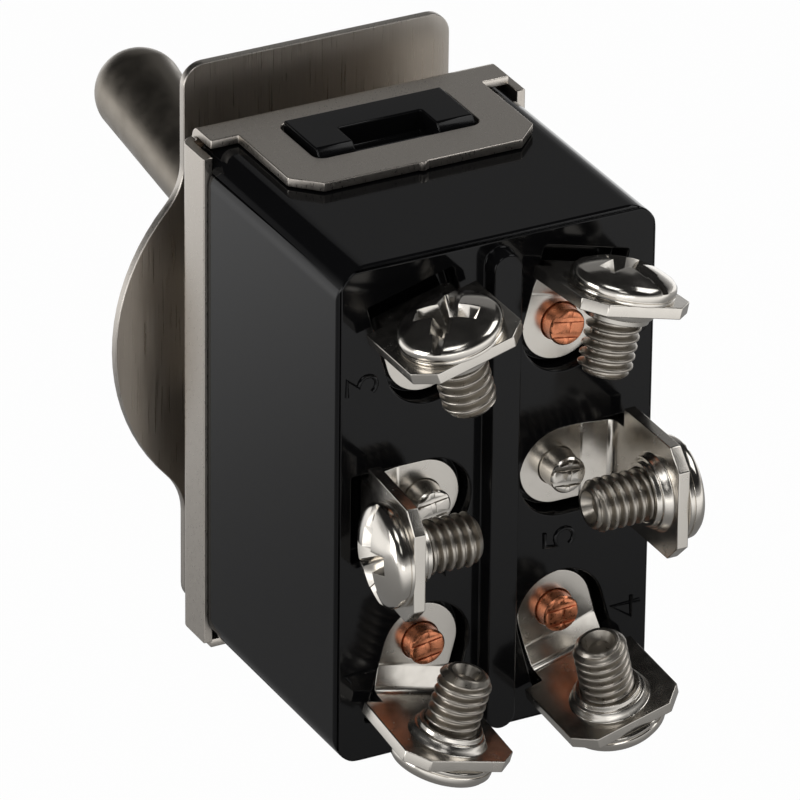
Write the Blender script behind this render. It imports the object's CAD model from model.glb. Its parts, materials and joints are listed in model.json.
"""Looks of a double-pole toggle switch for a panel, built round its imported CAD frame."""

import json
import math

import bmesh
import bpy
from mathutils import Matrix, Vector


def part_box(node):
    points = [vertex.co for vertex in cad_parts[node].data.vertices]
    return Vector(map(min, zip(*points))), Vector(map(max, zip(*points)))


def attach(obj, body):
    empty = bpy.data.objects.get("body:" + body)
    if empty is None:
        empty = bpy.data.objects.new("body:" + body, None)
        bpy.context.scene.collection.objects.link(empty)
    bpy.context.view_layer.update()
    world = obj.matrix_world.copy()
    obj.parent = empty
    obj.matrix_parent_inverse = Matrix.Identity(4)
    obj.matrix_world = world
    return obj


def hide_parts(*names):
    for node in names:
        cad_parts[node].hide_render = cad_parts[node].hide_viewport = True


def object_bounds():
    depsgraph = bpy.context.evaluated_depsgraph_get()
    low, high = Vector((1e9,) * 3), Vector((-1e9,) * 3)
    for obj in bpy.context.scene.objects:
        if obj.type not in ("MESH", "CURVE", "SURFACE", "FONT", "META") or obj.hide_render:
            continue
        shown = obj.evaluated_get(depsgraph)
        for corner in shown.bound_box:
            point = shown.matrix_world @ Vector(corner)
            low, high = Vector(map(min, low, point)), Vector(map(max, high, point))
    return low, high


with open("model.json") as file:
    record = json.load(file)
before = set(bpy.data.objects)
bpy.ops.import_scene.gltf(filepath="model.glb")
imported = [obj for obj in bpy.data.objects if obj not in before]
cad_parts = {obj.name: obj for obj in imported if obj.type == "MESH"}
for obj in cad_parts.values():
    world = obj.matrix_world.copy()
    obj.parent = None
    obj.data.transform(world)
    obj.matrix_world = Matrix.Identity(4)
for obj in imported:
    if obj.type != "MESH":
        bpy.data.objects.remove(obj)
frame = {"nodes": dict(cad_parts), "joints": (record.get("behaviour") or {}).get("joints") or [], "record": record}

bl_info = {
    "name": "Panel Toggle Switch",
    "version": (1, 0, 0),
    "blender": (4, 5, 0),
    "location": "3D View > Sidebar > Switch",
    "description": "Builds the pieces, finishes and studio of a panel toggle switch",
    "category": "Object",
}

MM = 0.001
BODY = "switch_body"
CAD_BOX = [list(corner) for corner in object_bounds()]
RECORD = frame["record"]


# ---------- shared helpers ----------

def linear(text):
    """Linear RGBA from an sRGB hex value."""
    def channel(pair):
        c = int(pair, 16)/255
        return c/12.92 if c <= 0.04045 else ((c + 0.055)/1.055)**2.4
    return (*[channel(text[i:i + 2]) for i in (1, 3, 5)], 1.0)


def add_node(tree, kind, inputs=None, **settings):
    """A new node with its settings, and its inputs set to a value or linked to a socket."""
    node = tree.nodes.new(kind)
    for name, value in settings.items():
        setattr(node, name, value)
    for name, value in (inputs or {}).items():
        socket = node.inputs[name]
        if isinstance(value, bpy.types.NodeSocket):
            tree.links.new(value, socket)
        else:
            socket.default_value = value
    return node


def mesh_object(name, bm):
    """The bmesh as an object of the scene, with its doubles merged and its faces outwards."""
    bmesh.ops.remove_doubles(bm, verts=bm.verts, dist=0.0005*MM)
    bmesh.ops.recalc_face_normals(bm, faces=bm.faces)
    mesh = bpy.data.meshes.new(name)
    bm.to_mesh(mesh)
    bm.free()
    obj = bpy.data.objects.new(name, mesh)
    bpy.context.scene.collection.objects.link(obj)
    return obj


def applied(obj):
    """Turns the object's modifiers into its mesh."""
    evaluated = obj.evaluated_get(bpy.context.evaluated_depsgraph_get())
    mesh = bpy.data.meshes.new_from_object(evaluated)
    obj.modifiers.clear()
    obj.data = mesh
    return obj


def smooth(obj, angle):
    """Smooth shading, with edges over the angle kept sharp."""
    obj.data.shade_smooth()
    obj.data.set_sharp_from_angle(angle=math.radians(angle))
    return obj


def dress(obj, material, body, slot, *nodes):
    """Gives a finished piece its material, body, slot and the CAD nodes that it stands for."""
    obj.data.materials.clear()
    obj.data.materials.append(material)
    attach(obj, body)
    if nodes:
        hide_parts(*nodes)
    return obj


def as_mesh(name, curve):
    """A mesh object of a curve or a text."""
    shape = bpy.data.objects.new(name, curve)
    bpy.context.scene.collection.objects.link(shape)
    mesh = bpy.data.meshes.new_from_object(shape)
    bpy.data.objects.remove(shape)
    obj = bpy.data.objects.new(name, mesh)
    bpy.context.scene.collection.objects.link(obj)
    return obj


def joined(name, objects):
    """One object with the meshes of several, each in its own place."""
    bm = bmesh.new()
    for obj in objects:
        mesh = obj.data
        mesh.transform(obj.matrix_world)
        bm.from_mesh(mesh)
        bpy.data.objects.remove(obj)
    mesh = bpy.data.meshes.new(name)
    bm.to_mesh(mesh)
    bm.free()
    obj = bpy.data.objects.new(name, mesh)
    bpy.context.scene.collection.objects.link(obj)
    return obj


def softened(name, nodes, width):
    """A copy of CAD nodes with their triangles merged and every sharp edge rounded."""
    flat_angle, sharp_angle, smooth_angle = 0.6, 28, 40
    bm = bmesh.new()
    for node in nodes:
        bm.from_mesh(frame["nodes"][node].data)
    bmesh.ops.remove_doubles(bm, verts=bm.verts, dist=0.001*MM)
    bmesh.ops.dissolve_limit(bm, angle_limit=math.radians(flat_angle), verts=bm.verts,
                               edges=bm.edges)
    obj = mesh_object(name, bm)
    bevel = obj.modifiers.new("edges", "BEVEL")
    bevel.width = width
    bevel.segments = 2
    bevel.limit_method = "ANGLE"
    bevel.angle_limit = math.radians(sharp_angle)
    bevel.use_clamp_overlap = False
    bevel.miter_outer = "MITER_ARC"
    smooth(applied(obj), smooth_angle)
    flat = obj.modifiers.new("flat faces", "WEIGHTED_NORMAL")
    flat.keep_sharp = True
    return applied(obj)


def rounded(obj, width, angle):
    """Rounds the edges of a small turned piece that are over the angle."""
    bevel = obj.modifiers.new("edges", "BEVEL")
    bevel.width = width
    bevel.segments = 2
    bevel.limit_method = "ANGLE"
    bevel.angle_limit = math.radians(angle)
    return applied(obj)


def lathe(name, profile, segments=96):
    """A solid about local Z. Its profile of (radius, z) runs from the axis back to the axis."""
    bm = bmesh.new()
    rings = []
    for k in range(segments):
        turn = 2*math.pi*k/segments
        rings.append([bm.verts.new((r*math.cos(turn), r*math.sin(turn), z)) for r, z in profile])
    for k in range(segments):
        here, there = rings[k], rings[(k + 1) % segments]
        for j in range(len(profile) - 1):
            if profile[j][0] or profile[j + 1][0]:
                bm.faces.new((here[j], there[j], there[j + 1], here[j + 1]))
    return mesh_object(name, bm)


def arc(centre, radius, start, end, steps):
    """Points of a circular arc, by angles in degrees."""
    turns = [math.radians(start + (end - start)*k/steps) for k in range(steps + 1)]
    return [(centre[0] + radius*math.cos(t), centre[1] + radius*math.sin(t)) for t in turns]


def threaded(name, radius, depth, pitch, length, chamfer, segments, rows=8):
    """A closed rod along +Z with a thread. Its rings follow the helix, so ridges stay crisp."""
    root, flanks = 0.12, 0.7     # shares of half a pitch; the rest is the crest

    def crest(share):
        flank = min(1.0, max(0.0, (abs(share - 0.5)*2 - root)/flanks))
        return 0.5 - 0.5*math.cos(math.pi*flank)
    bm = bmesh.new()
    steps = int(length/pitch*rows) + rows + 1
    rings = []
    for j in range(-rows, steps):
        ring = []
        for k in range(segments + 1):
            z = min(max((j/rows + k/segments)*pitch, 0.0), length)
            r = radius - depth + depth*crest((j/rows) % 1.0)
            r = min(r, radius - chamfer + (length - z))
            turn = 2*math.pi*k/segments
            ring.append(bm.verts.new((r*math.cos(turn), r*math.sin(turn), z)))
        rings.append(ring)
    for low, high in zip(rings, rings[1:]):
        for k in range(segments):
            bm.faces.new((low[k], low[k + 1], high[k + 1], high[k]))
    bmesh.ops.remove_doubles(bm, verts=bm.verts, dist=0.002*MM)
    bmesh.ops.dissolve_degenerate(bm, edges=bm.edges, dist=0.002*MM)
    bmesh.ops.holes_fill(bm, edges=[e for e in bm.edges if e.is_boundary], sides=0)
    return mesh_object(name, bm)


def cut(obj, cutters):
    """Cuts other objects out of this one, and removes them."""
    for cutter in cutters:
        boolean = obj.modifiers.new("cut", "BOOLEAN")
        boolean.operation = "DIFFERENCE"
        boolean.solver = "EXACT"
        boolean.object = cutter
    applied(obj)
    for cutter in cutters:
        bpy.data.objects.remove(cutter)
    return obj


def prism(name, outline, z0, z1, shrink=1.0):
    """A closed prism along Z over an outline, with its z1 end drawn in by a factor."""
    bm = bmesh.new()
    low = [bm.verts.new((x, y, z0)) for x, y in outline]
    high = [bm.verts.new((shrink*x, shrink*y, z1)) for x, y in outline]
    bm.faces.new(low[::-1])
    bm.faces.new(high)
    for k in range(len(outline)):
        n = (k + 1) % len(outline)
        bm.faces.new((low[k], low[n], high[n], high[k]))
    return mesh_object(name, bm)


def scattered(name, template, places, material):
    """Geometry Nodes set a copy of the template at each place, a (point, rotation) pair."""
    bm = bmesh.new()
    for point, _ in places:
        bm.verts.new(point)
    mesh = bpy.data.meshes.new(name)
    bm.to_mesh(mesh)
    bm.free()
    facing = mesh.attributes.new("facing", "FLOAT_VECTOR", "POINT")
    for item, (_, rotation) in zip(facing.data, places):
        item.vector = rotation.to_euler()
    obj = bpy.data.objects.new(name, mesh)
    bpy.context.scene.collection.objects.link(obj)

    tree = bpy.data.node_groups.new(name + " copies", "GeometryNodeTree")
    face = tree.interface
    face.new_socket("Places", in_out="INPUT", socket_type="NodeSocketGeometry")
    item = face.new_socket("Fastener", in_out="INPUT", socket_type="NodeSocketObject")
    finish = face.new_socket("Finish", in_out="INPUT", socket_type="NodeSocketMaterial")
    face.new_socket("Fasteners", in_out="OUTPUT", socket_type="NodeSocketGeometry")
    given = add_node(tree, "NodeGroupInput")
    info = add_node(tree, "GeometryNodeObjectInfo", {"Object": given.outputs["Fastener"]})
    euler = add_node(tree, "GeometryNodeInputNamedAttribute", {"Name": "facing"},
                     data_type="FLOAT_VECTOR")
    turn = add_node(tree, "FunctionNodeEulerToRotation", {"Euler": euler.outputs["Attribute"]})
    copies = add_node(tree, "GeometryNodeInstanceOnPoints",
                      {"Points": given.outputs["Places"], "Instance": info.outputs["Geometry"],
                       "Rotation": turn.outputs["Rotation"]})
    real = add_node(tree, "GeometryNodeRealizeInstances",
                    {"Geometry": copies.outputs["Instances"]})
    painted = add_node(tree, "GeometryNodeSetMaterial",
                       {"Geometry": real.outputs["Geometry"],
                        "Material": given.outputs["Finish"]})
    add_node(tree, "NodeGroupOutput", {"Fasteners": painted.outputs["Geometry"]})

    modifier = obj.modifiers.new("copies", "NODES")
    modifier.node_group = tree
    modifier[item.identifier] = template
    modifier[finish.identifier] = material
    applied(obj)
    bpy.data.objects.remove(template)
    return obj


# ---------- finishes ----------

def metal(name, colour, roughness, coordinates_scale=None):
    """A metal's shader on Object coordinates: the material, its tree, shader and coordinates."""
    material = bpy.data.materials.new(name)
    material.use_nodes = True
    tree = material.node_tree
    shader = tree.nodes["Principled BSDF"]
    shader.inputs["Base Color"].default_value = linear(colour)
    shader.inputs["Metallic"].default_value = 1.0
    shader.inputs["Roughness"].default_value = roughness
    place = add_node(tree, "ShaderNodeTexCoord").outputs["Object"]
    if coordinates_scale:
        place = add_node(tree, "ShaderNodeMapping",
                         {"Vector": place, "Scale": coordinates_scale}).outputs["Vector"]
    return material, tree, shader, place


def add_grain(tree, shader, place, scale, low, high, bump, distance, detail=4.0):
    """Noise that moves the roughness between two values and raises a faint bump. Returns it."""
    noise = add_node(tree, "ShaderNodeTexNoise",
                     {"Vector": place, "Scale": scale, "Detail": detail})
    spread = add_node(tree, "ShaderNodeMapRange",
                      {"Value": noise.outputs["Fac"], "From Min": 0.3, "From Max": 0.7,
                       "To Min": low, "To Max": high})
    tree.links.new(spread.outputs["Result"], shader.inputs["Roughness"])
    relief = add_node(tree, "ShaderNodeBump",
                      {"Height": noise.outputs["Fac"], "Strength": bump, "Distance": distance})
    tree.links.new(relief.outputs["Normal"], shader.inputs["Normal"])
    return noise


def phenolic_moulding(colours):
    """Black phenolic from a polished mould: a hard gloss, broken by faint flow marks."""
    material, tree, shader, place = metal("black phenolic moulding", colours.moulding, 0.1)
    shader.inputs["Metallic"].default_value = 0.0
    shader.inputs["IOR"].default_value = 1.58
    shader.inputs["Specular IOR Level"].default_value = 0.17
    add_grain(tree, shader, place, 1/(2.2*MM), 0.07, 0.14, 0.1, 0.004*MM, 4.0)
    return material


def plated_sheet(colours):
    """Nickel on rolled sheet steel: satin, with fine rolling lines along the strip."""
    material, tree, shader, place = metal("satin nickel on sheet steel", colours.sheet, 0.3,
                                          (1.0, 1.0, 0.3))
    add_grain(tree, shader, place, 1/(0.12*MM), 0.26, 0.36, 0.12, 0.001*MM)
    return material


def brushed_plate(colours):
    """Brushed, plated sheet: long scratches along the plate's height spread the gloss."""
    # real scratches are some 0.02 mm wide; these are drawn coarser, or none would show
    material, tree, shader, place = metal("brushed nickel plate", colours.plate, 0.3,
                                          (1.0, 1.0, 0.02))
    noise = add_grain(tree, shader, place, 1/(0.09*MM), 0.26, 0.38, 0.08, 0.001*MM, 2.0)
    tone = add_node(tree, "ShaderNodeMix", {"Factor": noise.outputs["Fac"]}, data_type="RGBA")
    tone.inputs["A"].default_value = linear(colours.plate)
    tone.inputs["B"].default_value = linear(colours.scratches)
    tree.links.new(tone.outputs["Result"], shader.inputs["Base Color"])
    return material


def bright_nickel(colours, name, low, high):
    """Bright nickel on brass: a warm mirror with a slight waviness under the plate."""
    material, tree, shader, place = metal(name, colours.nickel, low)
    add_grain(tree, shader, place, 1/(0.8*MM), low, high, 0.15, 0.004*MM)
    return material


def thread_nickel(colours):
    """Nickel on a rolled thread: thinner and duller than on the heads, so its ridges read."""
    material, tree, shader, place = metal("satin nickel on rolled threads", colours.thread, 0.3)
    add_grain(tree, shader, place, 1/(0.3*MM), 0.26, 0.4, 0.15, 0.003*MM)
    return material


def satin_nickel(colours):
    """Tumbled and nickel plated bar: a satin skin with cloudy, mottled gloss."""
    material, tree, shader, place = metal("satin nickel on turned brass", colours.lever, 0.25)
    add_grain(tree, shader, place, 1/(1.3*MM), 0.3, 0.46, 0.4, 0.01*MM, 5.0)
    return material


def bare_copper(colours):
    """Upset copper: a pink metal whose surface is creased by the riveting tool."""
    material, tree, shader, place = metal("bare copper", colours.copper, 0.3)
    add_grain(tree, shader, place, 1/(0.25*MM), 0.2, 0.42, 0.5, 0.01*MM, 6.0)
    return material


def plain_plastic(name, colour, roughness):
    """Moulded plastic without polish: even, with a fine grain."""
    material, tree, shader, place = metal(name, colour, roughness)
    shader.inputs["Metallic"].default_value = 0.0
    add_grain(tree, shader, place, 1/(0.15*MM), roughness - 0.08, roughness + 0.08, 0.2, 0.004*MM)
    return material


# ---------- sizes and colours that a user would change ----------

def length(text, value, about):
    """A length property in metres, given in millimetres."""
    return bpy.props.FloatProperty(name=text, description=about, default=value*MM,
                                   min=0.0, subtype="DISTANCE", unit="LENGTH", precision=5)


def hex_colour(text, value, about):
    """A colour property, kept as its sRGB hex value."""
    return bpy.props.StringProperty(name=text, description=about, default=value, maxlen=7)


class SwitchSizes(bpy.types.PropertyGroup):
    """Sizes of the details that are added round the frame."""
    case_edge: length("Case edge", 0.12, "Rounding of the moulded case's edges")
    sheet_edge: length("Sheet edge", 0.07, "Rounding of sheared sheet metal's edges")
    tab_edge: length("Terminal edge", 0.07, "Rounding of the terminals' edges")
    stroke: length("Number stroke", 0.15, "Radius of the strokes of the moulded numbers")
    number_height: length("Number height", 1.95, "Height of the moulded numbers")
    screw_radius: length("Screw radius", 1.65, "Radius over a terminal screw's thread")
    screw_pitch: length("Screw pitch", 0.6, "Pitch of a terminal screw's thread")
    screw_length: length("Screw length", 5.2, "Length of a terminal screw under its head")
    head_radius: length("Head radius", 3.2, "Radius of a terminal screw's head")
    head_height: length("Head height", 1.8, "Height of a terminal screw's head")
    bushing_pitch: length("Bushing pitch", 0.96, "Pitch of the bushing's thread")


class SwitchColours(bpy.types.PropertyGroup):
    """Colours of the finishes, as sRGB hex values."""
    moulding: hex_colour("Moulding", "#0b0b0c", "Black phenolic of the case")
    sheet: hex_colour("Sheet", "#d2cbc2", "Plated steel of the frame")
    plate: hex_colour("Plate", "#b5afa8", "Brushed indicator plate")
    scratches: hex_colour("Scratches", "#c8c2ba", "Bright scratches of the brushed plate")
    nickel: hex_colour("Nickel", "#d3cec6", "Bright nickel of screws and terminals")
    thread: hex_colour("Thread", "#aca69d", "Duller nickel of the screws' threads")
    lever: hex_colour("Lever", "#8f887e", "Satin nickel of the lever")
    copper: hex_colour("Copper", "#d98b66", "Bare copper of the rivets")
    spring: hex_colour("Spring", "#b5b3ae", "Spring steel of the spring and the pin")
    silver: hex_colour("Silver", "#e6e4de", "Silver of the contact buttons")
    fibre: hex_colour("Fibre", "#6d5a48", "Vulcanised fibre of the liner")
    nylon: hex_colour("Nylon", "#e4e1d6", "Natural nylon of the plunger")
    rocker: hex_colour("Rocker", "#5c2c1a", "Brown phenolic of the rocker")
    lettering: hex_colour("Lettering", "#141414", "Filled lettering of the indicator plate")
    floor: hex_colour("Floor", "#f4f4f4", "Studio floor")


class PieceOperator:
    """What the operators share: the panel's sizes and colours, and one run of build()."""
    bl_options = {"REGISTER", "UNDO"}

    def execute(self, context):
        """Builds the piece, and raises an error if it can't."""
        self.build(context.scene.switch_sizes, context.scene.switch_colours)
        return {"FINISHED"}


# ---------- case ----------

# One stroke for each moulded number, as (x, y) in a box 1 high.
STROKES = {
    "1": [[(0.12, 0.78), (0.36, 1.0), (0.36, 0.0)]],
    "2": [arc((0.32, 0.7), 0.3, 170, -35, 10) + [(0.0, 0.0), (0.64, 0.0)]],
    "3": [[(0.04, 1.0), (0.6, 1.0), (0.27, 0.6)] + arc((0.3, 0.3), 0.3, 85, -150, 10)],
    "4": [[(0.5, 0.0), (0.5, 1.0), (0.0, 0.3), (0.72, 0.3)]],
    "5": [[(0.58, 1.0), (0.1, 1.0), (0.06, 0.54)] + arc((0.3, 0.31), 0.32, 125, -145, 10)],
    "6": [[(0.5, 1.0), (0.1, 0.55)] + arc((0.31, 0.3), 0.3, 165, 525, 16)],
}


class SWITCH_OT_case(PieceOperator, bpy.types.Operator):
    """Build the moulded case and the numbers beside its terminals"""
    bl_idname = "switch.case"
    bl_label = "Case"

    def build(self, sizes, colours):
        finish = phenolic_moulding(colours)
        case = softened("moulded_case", ["case"], sizes.case_edge)
        dress(case, finish, BODY, "moulding", "case")
        dress(self.numbers(sizes), finish, BODY, "moulding")

    def numbers(self, sizes):
        """Raised strokes, turned so that they read with the case on its side."""
        rib_height = 1.2*MM
        middle = (0.32, 0.5)     # of the box that the strokes are drawn in
        face_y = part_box("case")[1].y - rib_height
        beside, below = Vector((4.5*MM, 0, -0.8*MM)), Vector((-0.2*MM, 0, -4.5*MM))
        made = []
        for number, strokes in STROKES.items():
            low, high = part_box("rivet_" + number)
            rivet = (low + high)/2
            side = 1 if rivet.x > 0 else -1
            gap = below if abs(rivet.z) < MM else beside
            curve = bpy.data.curves.new("number " + number, "CURVE")
            curve.dimensions = "3D"
            curve.bevel_depth = sizes.stroke
            curve.bevel_resolution = 2
            curve.use_fill_caps = True
            for stroke in strokes:
                line = curve.splines.new("POLY")
                line.points.add(len(stroke) - 1)
                for point, (x, y) in zip(line.points, stroke):
                    across = (x - middle[0])*sizes.number_height
                    up = (y - middle[1])*sizes.number_height
                    point.co = (rivet.x + side*gap.x + up, face_y - 0.1*sizes.stroke,
                                rivet.z + gap.z + across, 1)
            made.append(as_mesh("number " + number, curve))
        return smooth(joined("terminal_numbers", made), 50)


# ---------- sheet metal ----------

class SWITCH_OT_frame(PieceOperator, bpy.types.Operator):
    """Build the folded steel frame"""
    bl_idname = "switch.frame"
    bl_label = "Frame"

    def build(self, sizes, colours):
        bracket = softened("steel_frame", ["frame"], sizes.sheet_edge)
        dress(bracket, plated_sheet(colours), BODY, "frame_steel", "frame")


class SWITCH_OT_indicator(PieceOperator, bpy.types.Operator):
    """Build the indicator plate with its ON and OFF lettering"""
    bl_idname = "switch.indicator"
    bl_label = "Indicator plate"

    def build(self, sizes, colours):
        plate = softened("on_off_plate", ["indicator_plate"], sizes.sheet_edge)
        dress(plate, brushed_plate(colours), BODY, "plate_steel", "indicator_plate")
        ink = plain_plastic("black enamel fill", colours.lettering, 0.4)
        low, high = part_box("indicator_plate")
        cap_height, cap_share, from_edge, relief = 3.4*MM, 0.7, 3.6*MM, 0.02*MM
        made = []
        for word, z in (("ON", high.z - from_edge), ("OFF", low.z + from_edge)):
            curve = bpy.data.curves.new(word, "FONT")
            curve.body = word
            curve.size = cap_height/cap_share
            curve.align_x = "CENTER"
            curve.align_y = "CENTER"
            curve.extrude = relief/2
            letters = as_mesh(word + " letters", curve)
            letters.data.transform(Matrix.Translation((0, low.y, z))
                                   @ Matrix.Rotation(math.radians(90), 4, "X"))
            made.append(letters)
        dress(joined("on_off_lettering", made), ink, BODY, "plate_steel")


# ---------- bushing and nuts ----------

class SWITCH_OT_bushing(PieceOperator, bpy.types.Operator):
    """Build the threaded bushing with its keyway, the nuts and the lock washer"""
    bl_idname = "switch.bushing"
    bl_label = "Bushing and nuts"

    def build(self, sizes, colours):
        low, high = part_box("bushing")
        radius, bore = (high.x - low.x)/2, 4.1*MM
        thread_depth, chamfer = 0.36*MM, 0.45*MM
        lip_h, lip_edge = 0.7*MM, 0.2*MM
        spigot, lip = radius - 0.7*MM, radius - 0.1*MM
        half_key, keyway_d = 0.8*MM, 0.7*MM
        past = MM                # how far a cutter or a joined end reaches past a face
        seat_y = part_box("frame")[0].y
        free_length, tail_length = seat_y - low.y, high.y - seat_y
        # the thread runs from the frame out to the free end, so it is turned to face -Y
        outwards = (Matrix.Translation((0, seat_y, 0))
                    @ Matrix.Rotation(math.radians(90), 4, "X"))
        inwards = (Matrix.Translation((0, seat_y, 0))
                   @ Matrix.Rotation(math.radians(-90), 4, "X"))
        rod = threaded("threaded_bushing", radius, thread_depth, sizes.bushing_pitch,
                       free_length, chamfer, 96)
        tail = lathe("spigot", [(0, -past), (spigot, -past), (spigot, tail_length - lip_h),
                                (lip, tail_length - lip_h), (lip, tail_length - lip_edge),
                                (lip - lip_edge, tail_length), (0, tail_length)])
        rod.data.transform(outwards)
        tail.data.transform(inwards)
        join = rod.modifiers.new("join", "BOOLEAN")
        join.operation, join.solver, join.object = "UNION", "EXACT", tail
        applied(rod)
        bpy.data.objects.remove(tail)
        through = 20*MM
        hole = lathe("bore", [(0, -through), (bore, -through), (bore, through), (0, through)])
        hole.data.transform(Matrix.Rotation(math.radians(90), 4, "X"))
        # the rotation puts the outline's -Y at -Z, the side that the key is on
        key = prism("keyway", [(-half_key, -radius - past), (half_key, -radius - past),
                               (half_key, -radius + keyway_d), (-half_key, -radius + keyway_d)],
                    0.2*MM, free_length + past + 0.2*MM)
        key.data.transform(outwards)
        cut(rod, [hole, key])
        nickel = bright_nickel(colours, "nickel on turned brass", 0.12, 0.22)
        dress(smooth(rod, 30), nickel, BODY, "nickel_plate", "bushing")
        nuts = softened("hex_nuts", ["front_nut", "back_nut"], 0.08*MM)
        dress(nuts, nickel, BODY, "nickel_plate", "front_nut", "back_nut")
        washer = softened("toothed_washer", ["lock_washer"], 0.05*MM)
        dress(washer, plated_sheet(colours), BODY, "spring_steel", "lock_washer")


# ---------- lever ----------

class SWITCH_OT_lever(PieceOperator, bpy.types.Operator):
    """Build the turned bat lever"""
    bl_idname = "switch.lever"
    bl_label = "Lever"

    def build(self, sizes, colours):
        pivot = Vector(next(j for j in frame["joints"] if j["name"] == "lever")["pos_m"])
        tip_r, ball_r, stem_r, bore_r, pin_r = 2.9*MM, 3.7*MM, 2.4*MM, 1.55*MM, 0.85*MM
        reach, stem, bore_end, rim, taper = 23.6*MM, 11*MM, 2.4*MM, 0.2*MM, 2.5
        root_r = tip_r/math.cos(math.radians(taper)) - reach*math.tan(math.radians(taper))
        neck = math.degrees(math.acos((root_r + 0.1*MM)/ball_r))
        shoulder = math.degrees(math.acos(stem_r/ball_r))
        # local Z runs from the pivot out along the bat
        profile = (arc((0, reach), tip_r, 90, taper, 22) + arc((0, 0), ball_r, neck, -shoulder, 24)
                   + [(stem_r, -stem + rim), (stem_r - rim, -stem), (bore_r, -stem),
                      (bore_r, -bore_end), (0, -bore_end)])
        profile[0] = (0, profile[0][1])
        bat = lathe("bat_lever", profile, 128)
        through = 10*MM
        pin = lathe("pin hole", [(0, -through), (pin_r, -through), (pin_r, through),
                                 (0, through)], 32)
        pin.data.transform(Matrix.Rotation(math.radians(90), 4, "Y"))
        cut(bat, [pin])
        low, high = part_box("lever")
        tip = Vector((0, low.y + tip_r, high.z - tip_r))
        turn = (tip - pivot).to_track_quat("Z", "Y").to_matrix().to_4x4()
        bat.data.transform(Matrix.Translation(pivot) @ turn)
        dress(smooth(bat, 30), satin_nickel(colours), "lever", "lever_nickel", "lever")


# ---------- terminals, rivets and screws ----------

class SWITCH_OT_terminals(PieceOperator, bpy.types.Operator):
    """Build the six bent terminals"""
    bl_idname = "switch.terminals"
    bl_label = "Terminals"

    def build(self, sizes, colours):
        names = ["terminal_%d" % n for n in range(1, 7)]
        strips = softened("bent_terminals", names, sizes.tab_edge)
        finish = bright_nickel(colours, "satin nickel on brass strip", 0.19, 0.28)
        dress(strips, finish, BODY, "terminal_nickel", *names)


def aimed(axis, degrees):
    """The rotation that turns +Z to an axis, after a spin about it."""
    spin = Matrix.Rotation(math.radians(degrees), 3, "Z").to_quaternion()
    return axis.to_track_quat("Z", "Y") @ spin


def seats():
    """The six screw seats as (centre, direction of the thread), from the record's mounts."""
    mounts = {m["name"]: m for m in RECORD["mounts"]}
    for number in range(1, 7):
        mount = mounts["terminal_%d_seat" % number]
        yield Vector(mount["pos_m"]), -Vector(mount["axis"])


class SWITCH_OT_screws(PieceOperator, bpy.types.Operator):
    """Build the six terminal screws with their threads and recesses"""
    bl_idname = "switch.screws"
    bl_label = "Terminal screws"

    def build(self, sizes, colours):
        # each screw came to rest at its own angle
        turns = (64, 79, 42, 55, 75, 174)
        places = [(centre, aimed(thread, turn))
                  for (centre, thread), turn in zip(seats(), turns)]
        polished = bright_nickel(colours, "bright nickel on screw heads", 0.12, 0.2)
        screws = scattered("terminal_screws", self.head(sizes), places, polished)
        dress(screws, polished, BODY, "screw_nickel", *["screw_%d" % n for n in range(1, 7)])
        rolled = thread_nickel(colours)
        threads = scattered("screw_threads", self.shank(sizes), places, rolled)
        dress(threads, rolled, BODY, "screw_nickel")

    def head(self, sizes):
        """One head with its seat at the origin and its crown towards -Z."""
        r, tall = sizes.head_radius, sizes.head_height
        rim, edge = 0.9*MM, 0.22*MM
        rise = tall - rim
        dome_r = (r*r + rise*rise)/(2*rise)
        start = math.degrees(math.asin((r - edge)/dome_r))
        dome = [(-x, z) for x, z in arc((0, dome_r - tall), dome_r, -90, -90 - start, 14)]
        dome[0] = (0, dome[0][1])
        # a thin groove parts the head from its captive washer
        washer, groove = 0.25*MM, 0.09*MM
        step = [(r - 0.03*MM, -rim + 0.1*MM), (r, -rim + 0.28*MM), (r, -washer - groove),
                (r - groove, -washer - 0.05*MM), (r - groove, -washer),
                (r - 0.02*MM, -washer + 0.04*MM), (r - 0.02*MM, -0.05*MM), (r - 0.07*MM, 0),
                (0, 0)]
        head = lathe("screw head", dome + step, 96)
        # the slot flares towards the crown, and the cross tapers to a blunt point
        slot, slot_depth, slot_taper = 0.5*MM, 1.0*MM, 0.48
        wing, cross, cross_depth, cross_taper = 0.74*MM, 2.5*MM, 1.35*MM, 0.45
        wide = 2.3*r
        cutters = [prism("slot", [(-wide, -slot), (wide, -slot), (wide, slot), (-wide, slot)],
                         -tall - 0.15*MM, -tall + slot_depth, slot_taper)]
        for turn in (0, 90):
            arm = prism("wing", [(-cross, -wing), (cross, -wing), (cross, wing), (-cross, wing)],
                        -tall - 0.4*MM, -tall + cross_depth, cross_taper)
            arm.data.transform(Matrix.Rotation(math.radians(turn), 4, "Z"))
            cutters.append(arm)
        cut(head, cutters)
        return smooth(rounded(head, 0.035*MM, 32), 34)

    def shank(self, sizes):
        """One threaded shank from the seat along +Z, with a cup in its end."""
        thread_depth, chamfer = 0.37*MM, 0.44*MM
        floor_r, mouth_r, cup_depth = 0.7*MM, 1.0*MM, 0.6*MM
        shank = threaded("shank", sizes.screw_radius, thread_depth, sizes.screw_pitch,
                         sizes.screw_length, chamfer, 40, 12)
        hollow = lathe("end cup", [(0, 0), (floor_r, 0), (mouth_r, cup_depth),
                                   (mouth_r, cup_depth + MM), (0, cup_depth + MM)], 40)
        hollow.data.transform(Matrix.Translation((0, 0, sizes.screw_length - cup_depth)))
        return smooth(cut(shank, [hollow]), 50)


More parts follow.
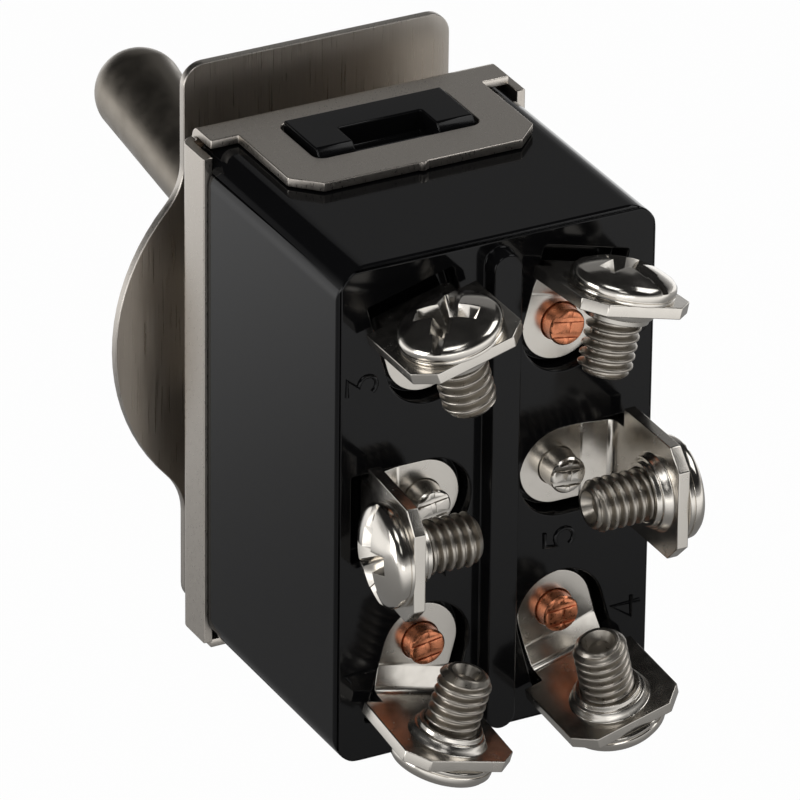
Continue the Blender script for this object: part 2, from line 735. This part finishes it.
class SWITCH_OT_rivets(PieceOperator, bpy.types.Operator):
    """Build the copper and the nickel plated rivets"""
    bl_idname = "switch.rivets"
    bl_label = "Rivets"

    def build(self, sizes, colours):
        copper = bare_copper(colours)
        nickel = bright_nickel(colours, "nickel on upset rivets", 0.1, 0.24)
        groups = (("copper_rivets", (1, 3, 4, 6), copper, "copper"),
                  ("nickel_rivets", (2, 5), nickel, "nickel_plate"))
        turns = (8, -6, 3, -10)      # each imprint stands at its own angle
        for name, numbers, finish, slot in groups:
            boxes = [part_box("rivet_%d" % n) for n in numbers]
            tall = boxes[0][1].y - boxes[0][0].y
            places = []
            for (low, high), turn in zip(boxes, turns):
                centre = Vector(((low.x + high.x)/2, low.y, (low.z + high.z)/2))
                places.append((centre, aimed(Vector((0, 1, 0)), turn)))
            rivets = scattered(name, self.template(tall), places, finish)
            dress(rivets, finish, BODY, slot, *["rivet_%d" % n for n in numbers])

    def template(self, tall):
        """One rivet along +Z from its inner head, with a barred imprint on its tail."""
        r, head_r, head_h, swell = 1.2*MM, 1.6*MM, 0.5*MM, 1.2*MM
        body = lathe("rivet", [(0, 0), (head_r, 0), (head_r, head_h), (r, head_h),
                               (r, tall - swell), (r - 0.06*MM, tall - 0.35*MM),
                               (r - 0.02*MM, tall - 0.18*MM), (r - 0.14*MM, tall - 0.04*MM),
                               (r - 0.3*MM, tall), (0, tall)], 48)
        half, deep, apart, past = 0.15*MM, 0.11*MM, 0.5*MM, MM
        reach = r + past
        cutters = []
        for across in (-apart, apart):
            outline = [(-reach, across - half), (reach, across - half),
                       (reach, across + half), (-reach, across + half)]
            cutters.append(prism("bar", outline, tall - deep, tall + past))
        upright = [(-half, -reach), (half, -reach), (half, reach), (-half, reach)]
        cutters.append(prism("cross bar", upright, tall - 0.4*deep, tall + past))
        return smooth(rounded(cut(body, cutters), 0.04*MM, 35), 34)


# ---------- hidden works ----------

class SWITCH_OT_works(PieceOperator, bpy.types.Operator):
    """Finish the pieces inside the case"""
    bl_idname = "switch.works"
    bl_label = "Inner works"

    def build(self, sizes, colours):
        # drawn wire and struck silver are plain and smooth, with a soft gloss
        spring = metal("spring steel wire", colours.spring, 0.3)[0]
        silver = metal("silver contact", colours.silver, 0.25)[0]
        nickel = bright_nickel(colours, "nickel on brass stampings", 0.12, 0.22)
        copper = bare_copper(colours)
        finishes = {
            "liner": plain_plastic("vulcanised fibre", colours.fibre, 0.6),
            "plunger": plain_plastic("natural nylon", colours.nylon, 0.45),
            "rocker": plain_plastic("brown phenolic", colours.rocker, 0.35),
            "lever_spring": spring, "pivot_pin": spring,
            "blade_1": copper, "blade_2": copper,
            "blade_buttons_1": silver, "blade_buttons_2": silver,
            "fulcrum_1": nickel, "fulcrum_2": nickel,
        }
        for node, finish in finishes.items():
            obj = frame["nodes"][node]
            obj.data.materials.clear()
            obj.data.materials.append(finish)


# ---------- studio ----------

def seen_rays(tree):
    """1 for the rays that show a backdrop: camera, mirror and transmission rays."""
    path = add_node(tree, "ShaderNodeLightPath")
    seen = add_node(tree, "ShaderNodeMath", {0: path.outputs["Is Glossy Ray"],
                                             1: path.outputs["Is Transmission Ray"]},
                    operation="MAXIMUM")
    both = add_node(tree, "ShaderNodeMath", {0: path.outputs["Is Camera Ray"],
                                             1: seen.outputs[0]}, operation="MAXIMUM")
    return path.outputs["Is Camera Ray"], both.outputs[0]


def studio_paper(name, colour):
    """White paper that the camera sees evenly lit. Metal sees it darker near the switch."""
    material = bpy.data.materials.new(name)
    material.use_nodes = True
    tree = material.node_tree
    shader = tree.nodes["Principled BSDF"]
    shader.inputs["Base Color"].default_value = linear(colour)
    shader.inputs["Roughness"].default_value = 0.9
    shader.inputs["Specular IOR Level"].default_value = 0.0
    camera, seen = seen_rays(tree)
    place = add_node(tree, "ShaderNodeTexCoord").outputs["Object"]
    across = add_node(tree, "ShaderNodeSeparateXYZ", {"Vector": place})
    near = add_node(tree, "ShaderNodeVectorMath", {0: place}, operation="LENGTH")
    aside = add_node(tree, "ShaderNodeMath", {0: across.outputs["Y"]}, operation="ABSOLUTE")
    front = add_node(tree, "ShaderNodeMapRange",
                     {"Value": aside.outputs[0], "From Min": 60*MM, "From Max": 160*MM,
                      "To Min": 0.45, "To Max": 1.3}, interpolation_type="SMOOTHSTEP")
    away = add_node(tree, "ShaderNodeMapRange",
                    {"Value": near.outputs["Value"], "From Min": 40*MM, "From Max": 300*MM,
                     "To Min": 0.35, "To Max": 1.0})
    lit = add_node(tree, "ShaderNodeMath", {0: front.outputs["Result"],
                                            1: away.outputs["Result"]}, operation="MULTIPLY")
    level = add_node(tree, "ShaderNodeMath", {0: camera, 1: lit.outputs[0]},
                     operation="MAXIMUM")
    # the rest is real light on the paper, which keeps the switch's shadow
    share = add_node(tree, "ShaderNodeMath", {0: seen, 1: 0.96}, operation="MULTIPLY")
    glow = add_node(tree, "ShaderNodeEmission", {"Color": (1, 1, 1, 1),
                                                 "Strength": level.outputs[0]})
    mix = add_node(tree, "ShaderNodeMixShader", {0: share.outputs[0], 1: shader.outputs[0],
                                                 2: glow.outputs[0]})
    tree.links.new(mix.outputs[0], tree.nodes["Material Output"].inputs["Surface"])
    return material


class SWITCH_OT_studio(PieceOperator, bpy.types.Operator):
    """Set up the floor, the lamps, the world and the camera"""
    bl_idname = "switch.studio"
    bl_label = "Studio"

    def build(self, sizes, colours):
        self.floor(colours)
        self.lamps()
        self.world()
        self.camera()
        settings = bpy.context.scene.view_settings
        settings.view_transform = "Standard"

    def floor(self, colours):
        """A pale floor below the switch, which a panel holds up in use."""
        drop, reach = 45*MM, 6.0
        z = CAD_BOX[0][2] - drop
        bm = bmesh.new()
        corners = [bm.verts.new((x*reach, y*reach, z))
                   for x, y in ((-1, -1), (1, -1), (1, 1), (-1, 1))]
        bm.faces.new(corners)
        mesh = bpy.data.meshes.new("studio_floor")
        bm.to_mesh(mesh)
        bm.free()
        floor = bpy.data.objects.new("studio_floor", mesh)
        bpy.context.scene.collection.objects.link(floor)
        floor.data.materials.append(studio_paper("white studio paper", colours.floor))

    def lamps(self):
        """Soft boxes at the left, above and by the camera, a dim panel and a low bounce card."""
        # name, place and size in metres, radiance
        boxes = (("left box", (0.45, -0.02, 0.04), (0.2, 0.26), 4.2),
                 ("upper left box", (0.2, 0.2, 0.4), (0.22, 0.16), 2.5),
                 ("upper right box", (-0.3, 0.1, 0.34), (0.3, 0.2), 2.2),
                 ("dim panel", (-0.3, -0.52, 0.3), (0.4, 0.3), 0.2),
                 ("front box", (0.25, 0.6, 0.42), (0.2, 0.18), 1.3),
                 ("bounce card", (0.2, 0.5, -0.04), (0.34, 0.12), 1.2))
        for box in boxes:
            self.softbox(*box)

    def softbox(self, name, place, size, radiance):
        """A rectangular lamp that faces the switch and is as bright as asked at any size."""
        light = bpy.data.lights.new(name, "AREA")
        light.shape = "RECTANGLE"
        light.size, light.size_y = size
        light.energy = radiance*math.pi*size[0]*size[1]
        lamp = bpy.data.objects.new(name, light)
        bpy.context.scene.collection.objects.link(lamp)
        lamp.location = place
        lamp.rotation_mode = "QUATERNION"
        lamp.rotation_quaternion = (-Vector(place)).to_track_quat("-Z", "Y")
        lamp.visible_camera = False

    def world(self):
        """White for the camera, dark overhead in mirrors, and plain grey light on matt surfaces."""
        world = bpy.context.scene.world or bpy.data.worlds.new("studio")
        bpy.context.scene.world = world
        world.use_nodes = True
        tree = world.node_tree
        for node in list(tree.nodes):
            tree.nodes.remove(node)
        camera, seen = seen_rays(tree)
        place = add_node(tree, "ShaderNodeTexCoord").outputs["Generated"]
        height = add_node(tree, "ShaderNodeSeparateXYZ", {"Vector": place})
        room = add_node(tree, "ShaderNodeMapRange",
                        {"Value": height.outputs["Z"], "From Min": 0.0, "From Max": 0.35,
                         "To Min": 0.5, "To Max": 0.015}, interpolation_type="SMOOTHSTEP")
        level = add_node(tree, "ShaderNodeMath", {0: camera, 1: room.outputs["Result"]},
                         operation="MAXIMUM")
        mix = add_node(tree, "ShaderNodeMix", {"Factor": seen})
        mix.inputs["A"].default_value = 0.5
        tree.links.new(level.outputs[0], mix.inputs["B"])
        white = add_node(tree, "ShaderNodeBackground", {"Color": (1, 1, 1, 1),
                                                        "Strength": mix.outputs["Result"]})
        add_node(tree, "ShaderNodeOutputWorld", {"Surface": white.outputs[0]})

    def camera(self):
        """A long lens, looking down on the wiring face from its upper left."""
        azimuth, elevation, roll = 152.07, 27.73, 0.65
        lens, distance = 391.1, 516.86*MM
        aim = Vector((3.97, 21.46, 4.51))*MM
        a, e = math.radians(azimuth), math.radians(elevation)
        back = Vector((math.sin(a)*math.cos(e), -math.cos(a)*math.cos(e), math.sin(e)))
        data = bpy.data.cameras.new("camera")
        data.lens = lens
        data.clip_start, data.clip_end = 0.01, 20
        camera = bpy.data.objects.new("camera", data)
        bpy.context.scene.collection.objects.link(camera)
        camera.location = aim + back*distance
        level = (-back).to_track_quat("-Z", "Y")
        camera.rotation_mode = "QUATERNION"
        spin = Matrix.Rotation(math.radians(roll), 3, "Z").to_quaternion()
        camera.rotation_quaternion = level @ spin
        bpy.context.scene.camera = camera


# ---------- panel and registration ----------

PIECES = (SWITCH_OT_case, SWITCH_OT_frame, SWITCH_OT_indicator, SWITCH_OT_bushing,
          SWITCH_OT_lever, SWITCH_OT_terminals, SWITCH_OT_screws, SWITCH_OT_rivets,
          SWITCH_OT_works, SWITCH_OT_studio)


class SWITCH_PT_panel(bpy.types.Panel):
    """Lists the switch's pieces, sizes and colours"""
    bl_idname = "SWITCH_PT_panel"
    bl_label = "Panel toggle switch"
    bl_space_type = "VIEW_3D"
    bl_region_type = "UI"
    bl_category = "Switch"

    def draw(self, context):
        column = self.layout.column(align=True)
        for piece in PIECES:
            column.operator(piece.bl_idname)
        for group in (context.scene.switch_sizes, context.scene.switch_colours):
            box = self.layout.box()
            for name in group.__annotations__:
                box.prop(group, name)


CLASSES = (SwitchSizes, SwitchColours, *PIECES, SWITCH_PT_panel)


def register():
    for item in CLASSES:
        bpy.utils.register_class(item)
    bpy.types.Scene.switch_sizes = bpy.props.PointerProperty(type=SwitchSizes)
    bpy.types.Scene.switch_colours = bpy.props.PointerProperty(type=SwitchColours)


def unregister():
    del bpy.types.Scene.switch_colours
    del bpy.types.Scene.switch_sizes
    for item in reversed(CLASSES):
        bpy.utils.unregister_class(item)


def main():
    register()
    bpy.ops.switch.case()
    bpy.ops.switch.frame()
    bpy.ops.switch.indicator()
    bpy.ops.switch.bushing()
    bpy.ops.switch.lever()
    bpy.ops.switch.terminals()
    bpy.ops.switch.screws()
    bpy.ops.switch.rivets()
    bpy.ops.switch.works()
    bpy.ops.switch.studio()
    bpy.context.view_layer.update()


if __name__ == "__main__":
    main()
